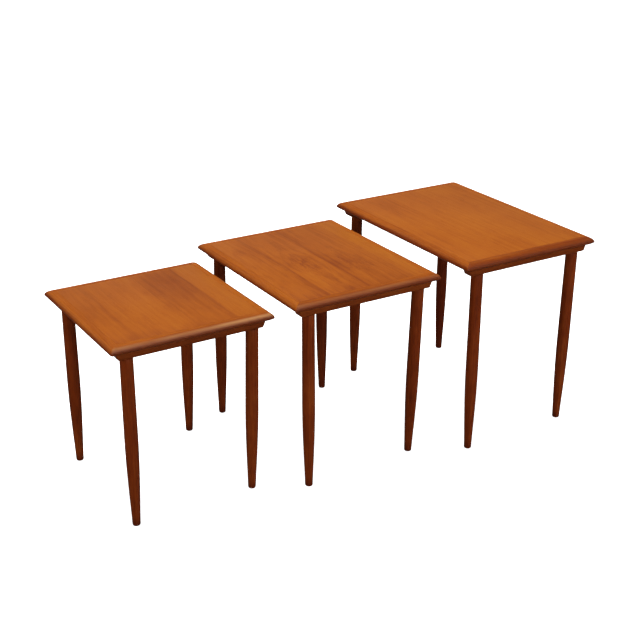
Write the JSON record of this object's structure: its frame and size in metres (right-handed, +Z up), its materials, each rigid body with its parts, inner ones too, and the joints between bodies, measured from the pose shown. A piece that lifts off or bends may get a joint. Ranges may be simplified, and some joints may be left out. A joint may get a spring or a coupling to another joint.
{
  "type": "nesting tables",
  "caption": "Nest of rectangular side tables with flat veneered tops, rounded lippings, side rails and round tapered legs; each smaller table slides in under the next.",
  "frame": {"origin": "centre of the bounding box's base, on the floor, with the tables drawn out in a row", "axes": "+X runs along the rails and the direction in which the tables nest, from the small table to the large one; +Y is to the left seen from the small table's end; +Z is up"},
  "size_m": [1.1875, 0.543, 0.47],
  "materials": {
    "teak_veneer": "oiled teak veneer, satin",
    "teak_lipping": "oiled solid teak, satin",
    "teak_rail": "oiled solid teak, darker, satin",
    "teak_leg": "oiled turned teak, satin",
    "zinc_steel": "zinc plated",
    "brassed_steel": "brass plated, worn"
  },
  "bodies": {
    "large": {"large_leg_back_left": "teak_leg", "large_leg_back_right": "teak_leg", "large_leg_front_left": "teak_leg", "large_leg_front_right": "teak_leg", "large_leg_stud_back_left": "zinc_steel", "large_leg_stud_back_right": "zinc_steel", "large_leg_stud_front_left": "zinc_steel", "large_leg_stud_front_right": "zinc_steel", "large_lipping_back": "teak_lipping", "large_lipping_front": "teak_lipping", "large_lipping_left": "teak_lipping", "large_lipping_right": "teak_lipping", "large_rail_left": "teak_rail", "large_rail_right": "teak_rail", "large_rail_screw_back_left": "brassed_steel", "large_rail_screw_back_right": "brassed_steel", "large_rail_screw_front_left": "brassed_steel", "large_rail_screw_front_right": "brassed_steel", "large_top_panel": "teak_veneer"},
    "medium": {"medium_leg_back_left": "teak_leg", "medium_leg_back_right": "teak_leg", "medium_leg_front_left": "teak_leg", "medium_leg_front_right": "teak_leg", "medium_leg_stud_back_left": "zinc_steel", "medium_leg_stud_back_right": "zinc_steel", "medium_leg_stud_front_left": "zinc_steel", "medium_leg_stud_front_right": "zinc_steel", "medium_lipping_back": "teak_lipping", "medium_lipping_front": "teak_lipping", "medium_lipping_left": "teak_lipping", "medium_lipping_right": "teak_lipping", "medium_rail_left": "teak_rail", "medium_rail_right": "teak_rail", "medium_rail_screw_back_left": "brassed_steel", "medium_rail_screw_back_right": "brassed_steel", "medium_rail_screw_front_left": "brassed_steel", "medium_rail_screw_front_right": "brassed_steel", "medium_top_panel": "teak_veneer"},
    "small": {"small_leg_back_left": "teak_leg", "small_leg_back_right": "teak_leg", "small_leg_front_left": "teak_leg", "small_leg_front_right": "teak_leg", "small_leg_stud_back_left": "zinc_steel", "small_leg_stud_back_right": "zinc_steel", "small_leg_stud_front_left": "zinc_steel", "small_leg_stud_front_right": "zinc_steel", "small_lipping_back": "teak_lipping", "small_lipping_front": "teak_lipping", "small_lipping_left": "teak_lipping", "small_lipping_right": "teak_lipping", "small_rail_left": "teak_rail", "small_rail_right": "teak_rail", "small_rail_screw_back_left": "brassed_steel", "small_rail_screw_back_right": "brassed_steel", "small_rail_screw_front_left": "brassed_steel", "small_rail_screw_front_right": "brassed_steel", "small_top_panel": "teak_veneer"}
  },
  "joints": [
    {"name": "medium_slide", "type": "slide", "parent": "large", "child": "medium", "axis": [1, 0, 0], "range_m": [0, 0.416]},
    {"name": "small_slide", "type": "slide", "parent": "medium", "child": "small", "axis": [1, 0, 0], "range_m": [0, 0.3975]}
  ]
}
